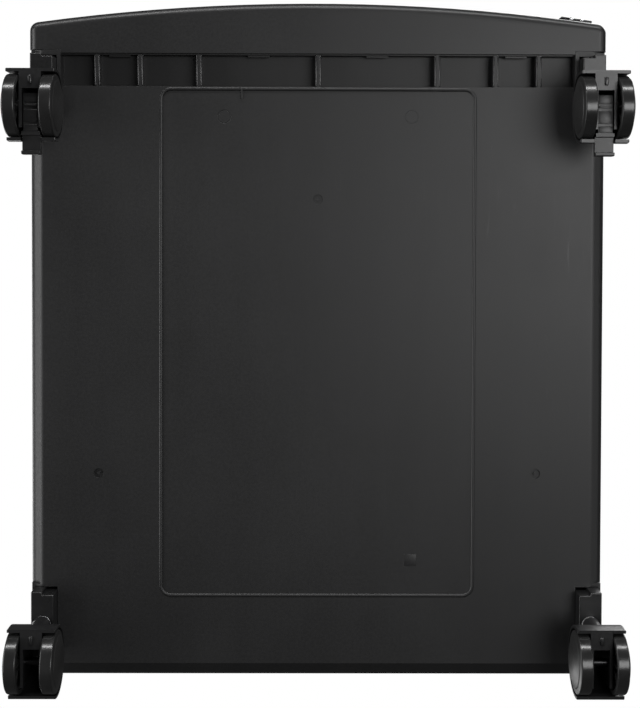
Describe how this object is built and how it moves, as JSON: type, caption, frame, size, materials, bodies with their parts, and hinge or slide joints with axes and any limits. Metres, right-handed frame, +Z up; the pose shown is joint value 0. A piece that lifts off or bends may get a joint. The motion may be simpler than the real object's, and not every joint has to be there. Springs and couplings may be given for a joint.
{
  "type": "plant pot caddy",
  "caption": "Low rolling caddy for a plant pot: a rectangular moulded tray with a bowed front and hand trough, on small twin-wheel swivel casters, the front ones with brake pedals.",
  "frame": {"origin": "on the ground, under the middle of the caddy's box", "axes": "-Y towards the bowed front, +X to the right of someone who faces that front, +Z up"},
  "size_m": [0.3198, 0.3644, 0.085],
  "materials": {
    "tray_plastic": "fine satin moulded polypropylene, black",
    "fascia_plastic": "satin moulded polypropylene, black",
    "foot_plastic": "satin moulded, black",
    "caster_plastic": "semi-gloss moulded nylon, black",
    "wheel_plastic": "semi-gloss moulded nylon, black, lightly worn tread",
    "pedal_plastic": "satin moulded nylon, black",
    "steel": "bright zinc plated",
    "badge_metal": "bright chromed plate, blank"
  },
  "bodies": {
    "tray": {"tray": "tray_plastic", "front_fascia": "fascia_plastic", "front_badge": "badge_metal", "front_left_foot": "foot_plastic", "front_left_socket_sleeve": "steel", "front_right_foot": "foot_plastic", "front_right_socket_sleeve": "steel", "rear_left_foot": "foot_plastic", "rear_left_socket_sleeve": "steel", "rear_right_foot": "foot_plastic", "rear_right_socket_sleeve": "steel"},
    "front_left_swivel": {"front_left_stem": "steel", "front_left_grip_ring": "steel", "front_left_hood": "caster_plastic", "front_left_axle": "steel"},
    "front_left_wheel_left": {"front_left_wheel_left": "wheel_plastic"},
    "front_left_wheel_right": {"front_left_wheel_right": "wheel_plastic"},
    "front_left_brake": {"front_left_brake_pedal": "pedal_plastic"},
    "front_right_swivel": {"front_right_stem": "steel", "front_right_grip_ring": "steel", "front_right_hood": "caster_plastic", "front_right_axle": "steel"},
    "front_right_wheel_left": {"front_right_wheel_left": "wheel_plastic"},
    "front_right_wheel_right": {"front_right_wheel_right": "wheel_plastic"},
    "front_right_brake": {"front_right_brake_pedal": "pedal_plastic"},
    "rear_left_swivel": {"rear_left_stem": "steel", "rear_left_grip_ring": "steel", "rear_left_hood": "caster_plastic", "rear_left_axle": "steel"},
    "rear_left_wheel_left": {"rear_left_wheel_left": "wheel_plastic"},
    "rear_left_wheel_right": {"rear_left_wheel_right": "wheel_plastic"},
    "rear_right_swivel": {"rear_right_stem": "steel", "rear_right_grip_ring": "steel", "rear_right_hood": "caster_plastic", "rear_right_axle": "steel"},
    "rear_right_wheel_left": {"rear_right_wheel_left": "wheel_plastic"},
    "rear_right_wheel_right": {"rear_right_wheel_right": "wheel_plastic"}
  },
  "joints": [
    {"name": "front_left_swivel_turn", "type": "hinge", "parent": "tray", "child": "front_left_swivel", "pos_m": [-0.1452, -0.1355, 0.036], "axis": [0, 0, 1], "continuous": true},
    {"name": "front_left_wheel_left_roll", "type": "hinge", "parent": "front_left_swivel", "child": "front_left_wheel_left", "pos_m": [-0.1452, -0.1232, 0.016], "axis": [1, 0, 0], "continuous": true},
    {"name": "front_left_wheel_right_roll", "type": "hinge", "parent": "front_left_swivel", "child": "front_left_wheel_right", "pos_m": [-0.1452, -0.1232, 0.016], "axis": [1, 0, 0], "continuous": true},
    {"name": "front_left_brake_press", "type": "hinge", "parent": "front_left_swivel", "child": "front_left_brake", "pos_m": [-0.1452, -0.1232, 0.016], "axis": [-1, 0, 0], "range_deg": [0, 12]},
    {"name": "front_right_swivel_turn", "type": "hinge", "parent": "tray", "child": "front_right_swivel", "pos_m": [0.1452, -0.1355, 0.036], "axis": [0, 0, 1], "continuous": true},
    {"name": "front_right_wheel_left_roll", "type": "hinge", "parent": "front_right_swivel", "child": "front_right_wheel_left", "pos_m": [0.1452, -0.1232, 0.016], "axis": [1, 0, 0], "continuous": true},
    {"name": "front_right_wheel_right_roll", "type": "hinge", "parent": "front_right_swivel", "child": "front_right_wheel_right", "pos_m": [0.1452, -0.1232, 0.016], "axis": [1, 0, 0], "continuous": true},
    {"name": "front_right_brake_press", "type": "hinge", "parent": "front_right_swivel", "child": "front_right_brake", "pos_m": [0.1452, -0.1232, 0.016], "axis": [-1, 0, 0], "range_deg": [0, 12]},
    {"name": "rear_left_swivel_turn", "type": "hinge", "parent": "tray", "child": "rear_left_swivel", "pos_m": [-0.1452, 0.149, 0.036], "axis": [0, 0, 1], "continuous": true},
    {"name": "rear_left_wheel_left_roll", "type": "hinge", "parent": "rear_left_swivel", "child": "rear_left_wheel_left", "pos_m": [-0.1452, 0.1613, 0.016], "axis": [1, 0, 0], "continuous": true},
    {"name": "rear_left_wheel_right_roll", "type": "hinge", "parent": "rear_left_swivel", "child": "rear_left_wheel_right", "pos_m": [-0.1452, 0.1613, 0.016], "axis": [1, 0, 0], "continuous": true},
    {"name": "rear_right_swivel_turn", "type": "hinge", "parent": "tray", "child": "rear_right_swivel", "pos_m": [0.1452, 0.149, 0.036], "axis": [0, 0, 1], "continuous": true},
    {"name": "rear_right_wheel_left_roll", "type": "hinge", "parent": "rear_right_swivel", "child": "rear_right_wheel_left", "pos_m": [0.1452, 0.1613, 0.016], "axis": [1, 0, 0], "continuous": true},
    {"name": "rear_right_wheel_right_roll", "type": "hinge", "parent": "rear_right_swivel", "child": "rear_right_wheel_right", "pos_m": [0.1452, 0.1613, 0.016], "axis": [1, 0, 0], "continuous": true}
  ]
}
